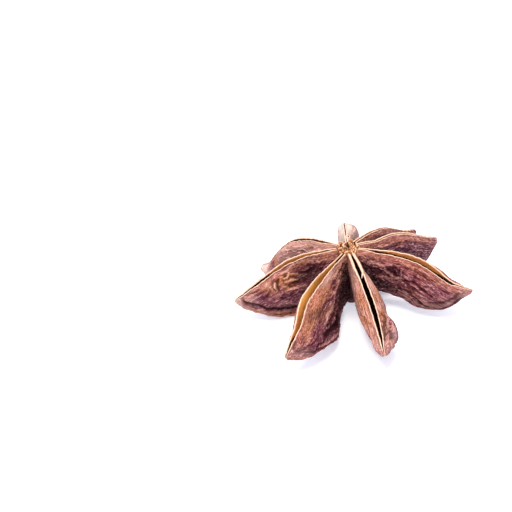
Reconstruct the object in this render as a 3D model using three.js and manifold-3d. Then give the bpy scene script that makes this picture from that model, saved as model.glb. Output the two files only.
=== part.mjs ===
// A dried star anise fruit: eight boat-shaped carpels, split open along their tops, joined round
// a short woody column. It is one solid, lying level on its keels. Millimetres, +Z up.
import * as THREE from 'three';
import { LoftGeometry } from 'three/addons/geometries/LoftGeometry.js';
import { mergeVertices } from 'three/addons/utils/BufferGeometryUtils.js';
import Module from 'manifold-3d';

// Driving sizes of the whole fruit
const crownHeight = 9.4; // where the seams leave the column, above the ground
const crownRadius = 1.3; // how far from the fruit's axis they start
const footHeight = 1.6; // where the keels leave it
const footRadius = 0.9;
const axisX = 0.1; // the fruit's axis, set so that the whole fruit is centred on the origin
const axisY = 0.8;

// Driving sizes that the carpels share
const huskThickness = 0.5;
const lipThickness = 0.2;
const beakThickness = 0.5;
const keelInnerPull = 0.34; // where the keel's two control points lie, as shares of the reach
const keelOuterPull = 0.8;
const rootWidth = 0.32; // shares of the half width: at the column, at the beak, and what the
const beakWidth = 0.16; // bulge between them adds
const bulgeWidth = 0.8;
const bulgeShift = 1.25; // moves the widest place outwards
const slitStart = 0.1; // where the slit opens, as a share of the carpel's length
const cavityStart = 0.16; // the ends of the seed's hollow, as shares of that length
const cavityEnd = 0.93;
const slitCut = 0.6; // how far the cut for the slit stands above the seam
const carpelSteps = 13;
const cavitySteps = 9;

// One carpel each: its direction round the axis, its slopes and its keel's lean in degrees, heights
// above the ground and lengths in millimetres; hold is how far an end keeps its slope, as a share
// of the reach. keelIn and keelOut are the heights that the keel is pulled to.
const carpels = [
  { angle: 18, reach: 13.4, rise: 2, hold: 0.66, tipHeight: 5.7, tipSlope: -21, tipHold: 0.39,
    keelIn: 0.8, keelOut: 0.8, halfWidth: 1.9, gape: 0.5, lean: 0, bend: 1.2 },
  { angle: 46, reach: 15.2, rise: -2, hold: 0.57, tipHeight: 3.6, tipSlope: -17, tipHold: 0.34,
    keelIn: -0.9, keelOut: -0.9, halfWidth: 1.9, gape: 0.5, lean: 0, bend: 0.4 },
  { angle: 88, reach: 15.5, rise: 5, hold: 0.5, tipHeight: 3.2, tipSlope: -24, tipHold: 0.28,
    keelIn: -0.8, keelOut: -0.8, halfWidth: 1.35, gape: 0.5, lean: 0, bend: 0 },
  { angle: 147, reach: 14, rise: 5, hold: 0.63, tipHeight: 2.8, tipSlope: -46, tipHold: 0.48,
    keelIn: -0.7, keelOut: -0.6, halfWidth: 1.9, gape: 0.6, lean: 0, bend: 0 },
  { angle: 185, reach: 15.9, rise: 6.5, hold: 0.5, tipHeight: 4.1, tipSlope: -27, tipHold: 0.37,
    keelIn: -1.2, keelOut: -0.4, halfWidth: 2.1, gape: 0.75, lean: 0, bend: 0 },
  { angle: 238, reach: 17.7, rise: 5, hold: 0.63, tipHeight: 3.6, tipSlope: -50, tipHold: 0.47,
    keelIn: -0.2, keelOut: 1.4, halfWidth: 2, gape: 1, lean: 23, bend: -0.3 },
  { angle: 276, reach: 17.3, rise: -4, hold: 0.51, tipHeight: 3.8, tipSlope: -52, tipHold: 0.33,
    keelIn: -1.4, keelOut: -0.3, halfWidth: 2, gape: 0.62, lean: 25, bend: 0.65 },
  { angle: 334, reach: 17, rise: 5.5, hold: 0.78, tipHeight: 5, tipSlope: -3.5, tipHold: 0.34,
    keelIn: 1.4, keelOut: -0.4, halfWidth: 2.1, gape: 0.8, lean: 0, bend: 0.6, footHeight: 4.3 },
];

// Half a carpel's section, from the keel up to the lip: shares of the half width and of the depth
const keelToLip = [
  [0, 1], [0.24, 0.96], [0.46, 0.84], [0.72, 0.68], [0.93, 0.52],
  [1, 0.38], [0.93, 0.23], [0.7, 0.1], [0.36, 0.01],
];
const lipDepth = 0.24; // above this share of the depth the slit pushes the wall outwards

// Half the hollow's section, from its floor up to the slit: shares of its own half width and depth
const floorToSlit = [[0, 1], [0.5, 0.88], [0.95, 0.6], [1, 0.38], [0.6, 0.12]];

// Half the column's section, from the stalk's scar up to the dimple in the crown: radius, height
const columnProfile = [
  [0, 0.9], [0.6, 0.9], [0.75, 1.3], [0.7, 1.9], [1.3, 2.6], [1.5, 4],
  [1.6, 8.6], [1.5, 9.2], [1.2, 9.45], [0.85, 9.3], [0.45, 8.85], [0, 8.75],
];

const wasm = await Module();
wasm.setup();

function slopeVector(degrees, length) {
  const angle = THREE.MathUtils.degToRad(degrees);
  return new THREE.Vector2(Math.cos(angle), Math.sin(angle)).multiplyScalar(length);
}

// The seam along a carpel's top and the keel below it, as curves of distance from the fruit's
// axis and height
function seamOf(carpel) {
  const start = new THREE.Vector2(crownRadius, crownHeight);
  const end = new THREE.Vector2(carpel.reach, carpel.tipHeight);
  const leaving = start.clone().add(slopeVector(carpel.rise, carpel.hold * carpel.reach));
  const arriving = end.clone().sub(slopeVector(carpel.tipSlope, carpel.tipHold * carpel.reach));
  return new THREE.CubicBezierCurve(start, leaving, arriving, end);
}

function keelOf(carpel) {
  return new THREE.CubicBezierCurve(
    new THREE.Vector2(footRadius, carpel.footHeight ?? footHeight),
    new THREE.Vector2(keelInnerPull * carpel.reach, carpel.keelIn),
    new THREE.Vector2(keelOuterPull * carpel.reach, carpel.keelOut),
    new THREE.Vector2(carpel.reach, carpel.tipHeight - beakThickness),
  );
}

// Half a carpel's width at t, which runs from 0 at the column to 1 at the beak
function halfWidthAt(carpel, t) {
  const bulge = Math.sin(Math.PI * t ** bulgeShift) ** 0.9;
  return carpel.halfWidth * (THREE.MathUtils.lerp(rootWidth, beakWidth, t) + bulgeWidth * bulge);
}

// Half the slit's width at t: shut at the column and at the beak
function halfGapeAt(carpel, t) {
  const along = THREE.MathUtils.clamp((t - slitStart) / (1 - slitStart), 0, 1);
  return 0.5 * carpel.gape * Math.sin(Math.PI * along) ** 0.8;
}

// Half a section and its mirror image as one ring at t on a carpel. A point is given as its
// distance sideways and its share of the way from the seam down to the keel.
function ringAt(carpel, t, half) {
  const top = seamOf(carpel).getPoint(t);
  const bottom = keelOf(carpel).getPoint(t);
  const angle = THREE.MathUtils.degToRad(carpel.angle);
  const swing = Math.tan(THREE.MathUtils.degToRad(carpel.lean)) * t ** 1.2 * top.distanceTo(bottom);
  const otherHalf = half.slice(1).reverse().map(([sideways, depth]) => [-sideways, depth]);
  return [...half, ...otherHalf].map(([sideways, depth]) => {
    const spot = top.clone().lerp(bottom, depth);
    const across = sideways + carpel.bend * t ** 2 + swing * depth;
    return new THREE.Vector3(
      axisX + spot.x * Math.cos(angle) - across * Math.sin(angle),
      axisY + spot.x * Math.sin(angle) + across * Math.cos(angle),
      spot.y,
    );
  });
}

// The closed outer shape of one carpel
function carpelRings(carpel) {
  return Array.from({ length: carpelSteps + 1 }, (_, step) => {
    const t = step / carpelSteps;
    const width = halfWidthAt(carpel, t);
    const lip = Math.min(halfGapeAt(carpel, t) + lipThickness, 0.9 * width);
    const half = keelToLip.map(([share, depth]) => {
      return [depth < lipDepth ? Math.max(share * width, lip) : share * width, depth];
    });
    return ringAt(carpel, t, half);
  });
}

// The seed's hollow with the slit above it: it narrows and grows shallow towards both ends
function cavityRings(carpel) {
  return Array.from({ length: cavitySteps + 1 }, (_, step) => {
    const along = step / cavitySteps;
    const t = THREE.MathUtils.lerp(cavityStart, cavityEnd, along);
    const fullness = Math.sqrt(Math.sin(Math.PI * THREE.MathUtils.lerp(0.06, 0.94, along)));
    const depth = seamOf(carpel).getPoint(t).distanceTo(keelOf(carpel).getPoint(t));
    const slit = halfGapeAt(carpel, t);
    const width = Math.max((halfWidthAt(carpel, t) - huskThickness) * fullness, slit);
    const floor = Math.max(1 - 1.6 * huskThickness / depth, 0.3) * (0.4 + 0.6 * fullness);
    const half = floorToSlit.map(([share, down]) => {
      return [share > 0 ? Math.max(share * width, slit) : 0, down * floor];
    });
    return ringAt(carpel, t, [...half, [slit, -slitCut / depth]]);
  });
}

function solidOf(geometry) {
  const bare = new THREE.BufferGeometry().copy(geometry);
  bare.deleteAttribute('normal');
  bare.deleteAttribute('uv');
  const merged = mergeVertices(bare);
  return new wasm.Manifold(new wasm.Mesh({
    numProp: 3,
    vertProperties: merged.attributes.position.array,
    triVerts: Uint32Array.from(merged.index.array),
  }));
}

function lofted(rings) {
  return solidOf(new LoftGeometry(rings, { capStart: true, capEnd: true }));
}

function column() {
  const profile = columnProfile.map(([radius, height]) => new THREE.Vector2(radius, height));
  const lathe = new THREE.LatheGeometry(profile, 16);
  lathe.rotateX(Math.PI / 2);
  lathe.translate(axisX, axisY, 0);
  return solidOf(lathe);
}

// Everything below the ground, which wears the keels to small flats
function ground() {
  const box = new THREE.BoxGeometry(60, 60, 10);
  box.translate(0, 0, -5);
  return solidOf(box);
}

function fruit() {
  const hollowCarpels = carpels.map((carpel) => {
    return lofted(carpelRings(carpel)).subtract(lofted(cavityRings(carpel)));
  });
  return hollowCarpels.reduce((whole, carpel) => whole.add(carpel), column()).subtract(ground());
}

function geometryOf(solid) {
  const mesh = solid.getMesh();
  const geometry = new THREE.BufferGeometry();
  geometry.setAttribute('position', new THREE.BufferAttribute(mesh.vertProperties, 3));
  geometry.setIndex(new THREE.BufferAttribute(mesh.triVerts, 1));
  geometry.computeVertexNormals();
  return geometry;
}

const husk = new THREE.MeshStandardMaterial({ color: 0x8a5148, roughness: 0.85, metalness: 0 });

const starAnise = new THREE.Mesh(geometryOf(fruit()), husk);
starAnise.name = 'star_anise';

const part = new THREE.Group();
part.add(starAnise);

export default part;
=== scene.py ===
import itertools
import math

import bmesh
import bpy
import numpy as np
from mathutils import Matrix


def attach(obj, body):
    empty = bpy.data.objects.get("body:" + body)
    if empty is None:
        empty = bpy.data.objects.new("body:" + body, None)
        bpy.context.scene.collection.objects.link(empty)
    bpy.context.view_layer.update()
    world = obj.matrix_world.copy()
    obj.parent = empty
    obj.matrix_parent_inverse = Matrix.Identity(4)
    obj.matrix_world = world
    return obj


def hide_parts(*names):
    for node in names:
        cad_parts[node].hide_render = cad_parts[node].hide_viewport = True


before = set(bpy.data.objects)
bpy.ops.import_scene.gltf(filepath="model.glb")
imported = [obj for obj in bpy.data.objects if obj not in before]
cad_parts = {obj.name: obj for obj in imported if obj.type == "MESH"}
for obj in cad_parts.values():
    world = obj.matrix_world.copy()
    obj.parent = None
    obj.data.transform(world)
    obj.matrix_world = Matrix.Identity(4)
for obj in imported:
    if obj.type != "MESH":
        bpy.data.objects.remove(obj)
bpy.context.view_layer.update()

# A dried star anise fruit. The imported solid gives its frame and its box; the carpels, the column
# and the torn fibres made here are the surfaces that are seen.
millimetre = 0.001
print("frame loaded")


def smooth(value, low, high):  # 0 below low, 1 above high, an S-curve between them
    share = np.clip((value - low) / (high - low), 0, 1)
    return share * share * (3 - 2 * share)


def mix(first, second, share):
    return first + (second - first) * share


def waves(points, seed):
    # Smooth random waves about one unit long: each corner of a unit lattice has a random slope, and
    # the eight slopes round a point are blended by fifth-degree S-curves
    points = np.asarray(points, float)
    cell = np.floor(points).astype(np.int64)
    inside = points - cell
    fade = inside ** 3 * (inside * (inside * 6 - 15) + 10)
    total = np.zeros(points.shape[:-1])
    for corner in itertools.product((0, 1), repeat=3):
        x, y, z = np.moveaxis(cell + np.array(corner), -1, 0)
        code = (x * 73856093) ^ (y * 19349663) ^ (z * 83492791) ^ (seed * 2654435761)
        code = ((code ^ (code >> 13)) * 1274126177) & 0xffffffff
        code ^= code >> 15
        slopes = np.stack([(code >> shift) & 1023 for shift in (0, 10, 20)], -1) / 511.5 - 1
        nearness = np.where(corner, fade, 1 - fade).prod(-1)
        total += nearness * (slopes * (inside - corner)).sum(-1)
    return total * 1.5  # now they reach about 1


def layeredWaves(points, seed):  # waves with two layers on top, each half the size and strength
    return sum(waves(points * 2 ** k, seed + k) / 2 ** k for k in range(3))


def creases(points, seed):
    # Near 1 along thin winding lines, where the waves change sign, and near 0 off them; finer and
    # weaker lines are laid over them
    shares = (1, 0.7)
    total = 0
    for k, share in enumerate(shares):
        total = total + share * (1 - np.clip(np.abs(waves(points * 1.9 ** k, seed + 5 * k)) * 2.4, 0, 1))
    return total / sum(shares)


def lineStrength(place, points, width):  # 1 on a line through the points, fading over the width
    nearest = np.inf
    for start, end in itertools.pairwise(np.array(points, float)):
        reach = end - start
        share = np.clip((place - start) @ reach / (reach @ reach), 0, 1)
        nearest = np.minimum(nearest, np.linalg.norm(place - start - share[..., None] * reach, axis=-1))
    return np.exp(-(nearest / width) ** 2)


def patchStrength(place, middle, size):  # 1 in the middle of a soft-edged oval, 0 outside it
    return 1 - smooth(np.linalg.norm((place - middle) / size, axis=-1), 0.35, 1.15)


def between(stations, t):
    # Straight lines through the stations, each a place and a value, with their corners rounded by
    # averaging over a tenth of the way
    places, values = np.array(stations, float).T
    return np.mean([np.interp(t + shift, places, values) for shift in np.linspace(-0.05, 0.05, 9)], axis=0)


def bezier(stations, t):
    # A cubic curve through the first and last station, pulled towards the two between them
    t = t[:, None]
    weights = ((1 - t) ** 3, 3 * (1 - t) ** 2 * t, 3 * (1 - t) * t ** 2, t ** 3)
    return sum(weight * np.array(station) for weight, station in zip(weights, stations))


def bSplineWeights(count, samples):
    # Rows of cubic B-spline weights for a closed loop: each sample blends the four control points
    # nearest to it, so that the curve never swings wide of them
    first = np.floor(samples).astype(int)
    f = samples - first
    blend = ((1 - f) ** 3, 3 * f ** 3 - 6 * f ** 2 + 4, -3 * f ** 3 + 3 * f ** 2 + 3 * f + 1, f ** 3)
    table = np.zeros((len(samples), count))
    for step, share in enumerate(blend):
        np.add.at(table, (np.arange(len(samples)), (first + step - 1) % count), share / 6)
    return table


def lengthsAlong(points):  # how far each point of a line lies from its first, along the line
    return np.concatenate([[0], np.cumsum(np.linalg.norm(np.diff(points, axis=0), axis=1))])


def surfaceNormals(points):  # cross product of the slopes along and around a grid closed around
    along = np.gradient(points, axis=0)
    around = np.roll(points, -1, 1) - np.roll(points, 1, 1)
    normals = np.cross(along, around)
    return normals / np.maximum(np.linalg.norm(normals, axis=-1, keepdims=True), 1e-12)


def tubePiece(name, points, fields, grain, material):
    # A grid closed around, with its first and last rings drawn to points, as one closed mesh. The
    # fields are kept on its points, with grain, its places along and round the wall in millimetres.
    rows, columns = points.shape[:2]
    index = np.arange(rows * columns).reshape(rows, columns)
    quads = np.stack([index[:-1], np.roll(index, -1, 1)[:-1], np.roll(index, -1, 1)[1:], index[1:]], -1)
    mesh = bpy.data.meshes.new(name)
    mesh.from_pydata((points.reshape(-1, 3) * millimetre).tolist(), [], quads.reshape(-1, 4).tolist())
    for key, values in fields.items():
        layer = mesh.attributes.new(key, "FLOAT", "POINT")
        layer.data.foreach_set("value", np.ascontiguousarray(values, np.float32).ravel())
    layer = mesh.attributes.new("grain", "FLOAT_VECTOR", "POINT")
    layer.data.foreach_set("vector", np.ascontiguousarray(grain, np.float32).ravel())
    whole = bmesh.new()
    whole.from_mesh(mesh)
    bmesh.ops.remove_doubles(whole, verts=whole.verts, dist=1e-7)
    bmesh.ops.recalc_face_normals(whole, faces=whole.faces)
    whole.to_mesh(mesh)
    whole.free()
    mesh.polygons.foreach_set("use_smooth", np.ones(len(mesh.polygons), bool))
    mesh.materials.append(material)
    piece = bpy.data.objects.new(name, mesh)
    bpy.context.scene.collection.objects.link(piece)
    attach(piece, "root")
    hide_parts("star_anise")
    print("made", name, len(mesh.polygons), "faces")


def colour(hexValue):  # an sRGB hex value as linear light, opaque
    shares = [int(hexValue[place:place + 2], 16) / 255 for place in (0, 2, 4)]
    return [s / 12.92 if s <= 0.04045 else ((s + 0.055) / 1.055) ** 2.4 for s in shares] + [1]


def addNode(tree, kind, settings=(), links=()):
    # Settings and links are named by a node's property, its socket's name or its socket's number
    node = tree.nodes.new(kind)
    for key, value in dict(settings).items():
        if isinstance(key, str) and hasattr(node, key):
            setattr(node, key, value)
        else:
            node.inputs[key].default_value = value
    for key, source in dict(links).items():
        tree.links.new(source, node.inputs[key])
    return node


def newMaterial(name):
    material = bpy.data.materials.new(name)
    material.use_nodes = True
    material.node_tree.nodes.clear()
    return material, material.node_tree


huskFinish = {
    # Patterns on the wall: sizes along and round it in millimetres, layers of detail, shift. The
    # grit and the fibres are coarser than real ones, so that they show.
    "patterns": {
        "mottle": (2.2, 1.5, 3, 0),
        "cloud": (0.8, 0.5, 3, 11),
        "grit": (0.4, 0.1, 2, 23),
        "speck": (0.26, 0.12, 2, 5),
        "knot": (0.34, 0.24, 3, 71),
        "streak": (2.0, 0.15, 2, 31),
        "fibre": (0.5, 0.09, 2, 47),
    },
    "base": ("68323b", "774045"),  # two browns that the mottle mixes
    # Layers over the base, the later ones on top: colour, strength and what it is multiplied by
    "layers": (
        ("523343", 0.85, "mauve"),
        ("9c685a", 0.95, "beige"),
        ("d0a69c", 0.85, "beige", "streak"),
        ("9c603e", 0.85, "tan"),
        ("ae7350", 0.5, "tan", "cloud"),
        ("8f4f3e", 0.8, "rim"),
        ("a36a55", 0.75, "root"),
        # painted highlight on the relief's crests, then painted shade in its hollows
        ("aa736e", 0.85, "up"),
        ("300812", 0.9, "down"),
        # dark patches: the walls' own darker colour, with painted shade beside the column and where carpels
        # shadow each other
        ("1c050c", 0.8, "dark"),
        ("b98f83", 0.85, "pale"),
        # painted highlight on the crests of pale parts
        ("ead3c6", 0.6, "pale", "up"),
        # painted shade in sunk folds and in the groove above the keel
        ("26070b", 0.85, "foldShade"),
        ("6a3a1c", 0.5, "foldShade", "tan"),
        # painted highlight on raised ridges
        ("b07a72", 0.6, "ridgeHighlight"),
        ("d3a070", 0.6, "ridgeHighlight", "tan"),
        # white: whitish beak ends of some carpels, and painted highlight on the back carpel where light
        # from behind glances off it
        ("ead9ca", 1, "white"),
        ("a98678", 0.7, "white", "down"),
        # pale specks, shown where the relief carries painted highlight
        ("cf9f94", 0.45, "speck", "up"),
        ("1c050c", 0.35, "dark"),
        ("e2c2aa", 1, "lip"),
        # whitened lips: painted highlight where light from behind glances off them
        ("dccdbf", 0.95, "lip", "white"),
        ("cf9c7a", 0.2, "lip", "root"),
        ("a4755a", 0.5, "lip", "fibre"),
        ("93522a", 1, "lining"),
        ("b47440", 0.5, "lining", "streak"),
        ("d8984f", 0.9, "amber"),
        # painted shade deep inside the slits, below where the lining is lit
        ("1d0b06", 0.96, "inside"),
    ),
    # How strongly each pattern lightens or darkens the relief's painted light and shade
    "tones": {"speck": 0.75, "grit": 0.95, "cloud": -0.4, "streak": 1.0},
    "knots": -0.6,  # they darken what the net leaves free
    "calm": 0.8,  # how far plain patches lose it, and what is left there
    "calmTone": -0.3,
    "roughness": (0.8, 0.4),  # of the walls and of the lining
    "gloss": 0.07,  # a dusty wood's weak shine
    "ior": 1.5,
    "bump": 0.00005,  # metres
}


def driedHusk():
    # Sun-dried fruit husk, shrunken and woody: matt purple-brown walls, painted highlight on crests and
    # painted shade in folds, tan shoulders, fibrous cream lips and an amber lining with a satin gloss
    material, tree = newMaterial("driedHusk")
    mask = {
        name: addNode(tree, "ShaderNodeAttribute", {"attribute_name": name}).outputs[2]
        for name in (
            "lip", "lining", "amber", "inside", "root", "plain", "net", "crest", "foldShade", "ridgeHighlight",
            "tan", "beige", "mauve", "dark", "pale", "white", "rim")
    }
    grain = addNode(tree, "ShaderNodeAttribute", {"attribute_name": "grain"}).outputs[1]
    for key, (along, around, detail, shift) in huskFinish["patterns"].items():
        place = addNode(tree, "ShaderNodeMapping", {
            "Location": (shift, shift, 0), "Scale": (1 / along, 1 / around, 1)}, {"Vector": grain})
        noise = addNode(tree, "ShaderNodeTexNoise", {
            "Scale": 1.0, "Detail": detail, "Roughness": 0.6}, {"Vector": place.outputs[0]})
        mask[key] = addNode(tree, "ShaderNodeMapRange", {
            "interpolation_type": "SMOOTHSTEP", 1: 0.34, 2: 0.66}, {0: noise.outputs[0]}).outputs[0]

    # Painted light and shade of the relief: crests and the raised net lighter, hollows darker, broken up
    # by patterns too fine for the mesh
    knots = addNode(tree, "ShaderNodeMath", {"operation": "MULTIPLY_ADD", 1: huskFinish["knots"]}, {
        0: mask["knot"], 2: mask["crest"]})
    tone = addNode(tree, "ShaderNodeMix", {"data_type": "FLOAT"}, {
        0: mask["net"], 2: mask["crest"], 3: knots.outputs[0]}).outputs[0]
    calmed = addNode(tree, "ShaderNodeMath", {"operation": "MULTIPLY", 1: huskFinish["calm"]}, {
        0: mask["plain"]})
    tone = addNode(tree, "ShaderNodeMix", {"data_type": "FLOAT", 3: huskFinish["calmTone"]}, {
        0: calmed.outputs[0], 2: tone}).outputs[0]
    for key, strength in huskFinish["tones"].items():
        middle = addNode(tree, "ShaderNodeMath", {"operation": "SUBTRACT", 1: 0.5}, {0: mask[key]})
        tone = addNode(tree, "ShaderNodeMath", {"operation": "MULTIPLY_ADD", 1: strength}, {
            0: middle.outputs[0], 2: tone}).outputs[0]
    # up is painted highlight on the relief's crests and down is painted shade in its hollows, each mixed
    # with the grain's own lighter and darker specks
    mask["up"] = addNode(tree, "ShaderNodeMapRange", {1: 0.0, 2: 1.3}, {0: tone}).outputs[0]
    mask["down"] = addNode(tree, "ShaderNodeMapRange", {1: 0.1, 2: -1.3}, {0: tone}).outputs[0]

    low, high = huskFinish["base"]
    tint = addNode(tree, "ShaderNodeMix", {"data_type": "RGBA", 6: colour(low), 7: colour(high)}, {
        0: mask["mottle"]}).outputs[2]
    for layer, strength, first, *others in huskFinish["layers"]:
        share = mask[first]
        for other in others:
            share = addNode(tree, "ShaderNodeMath", {"operation": "MULTIPLY"}, {
                0: share, 1: mask[other]}).outputs[0]
        share = addNode(tree, "ShaderNodeMath", {"operation": "MULTIPLY", 1: strength}, {0: share})
        tint = addNode(tree, "ShaderNodeMix", {"data_type": "RGBA", 7: colour(layer)}, {
            0: share.outputs[0], 6: tint}).outputs[2]

    dull, satin = huskFinish["roughness"]
    roughness = addNode(tree, "ShaderNodeMapRange", {1: 0.0, 2: 1.0, 3: dull, 4: satin}, {
        0: mask["lining"]})
    height = addNode(tree, "ShaderNodeMath", {"operation": "MULTIPLY_ADD", 1: 0.6}, {
        0: mask["streak"], 2: mask["grit"]})
    bump = addNode(tree, "ShaderNodeBump", {"Strength": 0.6, "Distance": huskFinish["bump"]}, {
        "Height": height.outputs[0]})
    shader = addNode(tree, "ShaderNodeBsdfPrincipled", {
        "IOR": huskFinish["ior"], "Specular IOR Level": huskFinish["gloss"]}, {
        "Base Color": tint, "Roughness": roughness.outputs[0], "Normal": bump.outputs[0]})
    addNode(tree, "ShaderNodeOutputMaterial", {}, {"Surface": shader.outputs[0]})
    print("made the husk's material")
    return material


husk = {  # what the carpels share, in millimetres where nothing else is said
    "axis": (0.1, 0.8),
    "crownRadius": 1.3,
    "crownHeight": 9.4,
    "footRadius": 0.9,
    "footHeight": 1.6,
    "beakThickness": 0.5,
    "keelPulls": (0.34, 0.8),  # shares of the reach
    "rootWidth": 0.32,  # shares of the half width, at the column, at the beak and in the bulge
    "beakWidth": 0.16,
    "bulgeWidth": 0.8,
    "bulgeShift": 1.25,  # moves the widest place outwards
    "slitStart": 0.04,  # share of the length
    "wall": 0.5,
    "lip": 0.22,
    "rootRound": 0.25,  # how far from its ends a carpel is rounded off
    "beakRound": 0.3,
    "rows": 220,
    "endPart": 1 / 24,  # the share of the length at each end where the rows lie closer together
    "endRows": 11,
    "loopPoints": 40,  # control points round the section: 21 on one side and 19 back on the other
    "outerSamples": 100,
    "lipSamples": 14,
    "innerSamples": 26,
    "seamRipple": (3.2, 0.1),  # lengths and heights of the uneven lines
    "keelRipple": (2.1, 0.3),
    "lipRipple": (0.45, 0.07),
    "slitRipple": (0.9, 0.035),
    "lowest": 0.004,  # the keels rest on the floor, just clear of it
}

# The relief on the outer walls: heights and depths in millimetres, and the random waves that it is
# made of, each with its sizes along and round the wall, its strength and its pattern's number
relief = {
    "net": 0.2,
    "folds": 0.055,
    "keelGroove": 0.16,
    "furrow": 0.05,
    "deepest": 0.36,  # the wall is never cut through
    # painted highlight: relief this high gets the crests' full lighter colour
    "fullCrest": 0.11,  # relief of this height has the crests' full colour
    "waves": {
        "bendAlong": (1.3, 1.3, 0.45, 1),
        "kinkAlong": (0.5, 0.5, 0.12, 2),
        "bendRound": (1.3, 1.3, 0.45, 3),
        "kinkRound": (0.5, 0.5, 0.12, 4),
        "netEdge": (2, 2, 1, 5),
        "grooveLine": (2.4, 50, 0.25, 6),
        "furrowLine": (3.5, 50, 0.2, 7),
        "markAlong": (0.6, 0.6, 0.1, 8),
        "markRound": (0.6, 0.6, 0.1, 9),
        "markWidth": (0.8, 0.8, 0.5, 10),
        "pimples": (0.45, 0.3, 0.035, 11),
        "grain": (2.2, 0.2, 0.03, 12),
        "swells": (3, 2.4, 0.16, 13),
        "dents": (1.3, 1.0, 0.06, 14),
        "rags": (0.9, 0.7, 0.35, 15),
        "fineRags": (0.35, 0.25, 0.25, 16),
        "finePimples": (0.2, 0.17, 0.015, 17),
        "stripEdge": (3, 2, 0.4, 18),
    },
}

# What a carpel has where nothing else is said. Stations are shares of its length with a value there,
# and humps are bell curves: the share where they stand, their reach in shares and their height.
usualCarpel = dict(
    footHeight=husk["footHeight"],
    taper=0,  # how much narrower the beak is, as a share
    lowNet=0,  # how strongly netted the wall is near the keel
    shade=(2, 3),  # the lining grows dark between these shares of the length: here, nowhere
    amber=0.15,
    # painted highlight along the lips, where light from behind glances off them
    backlitLipSheen=0,
    rootLip=0,  # how much wider the lips are near the column and near the beak
    tipLip=0,
    sags=(0, 0),  # how far each lip hangs down
    sides=(1, 1),  # each wall's width, as a share or as stations
    drift=[(0, 0), (1, 0)],  # how far the seam and the keel are pushed sideways
    keelDrift=[(0, 0), (1, 0)],
    keelLifts=[(0, 0), (1, 0)],
    lifts=(),  # humps of the keel and of the seam
    seamLifts=(),
    strip=None,  # a calm band under the lips
    folds=(),
    patches={},
)

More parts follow.
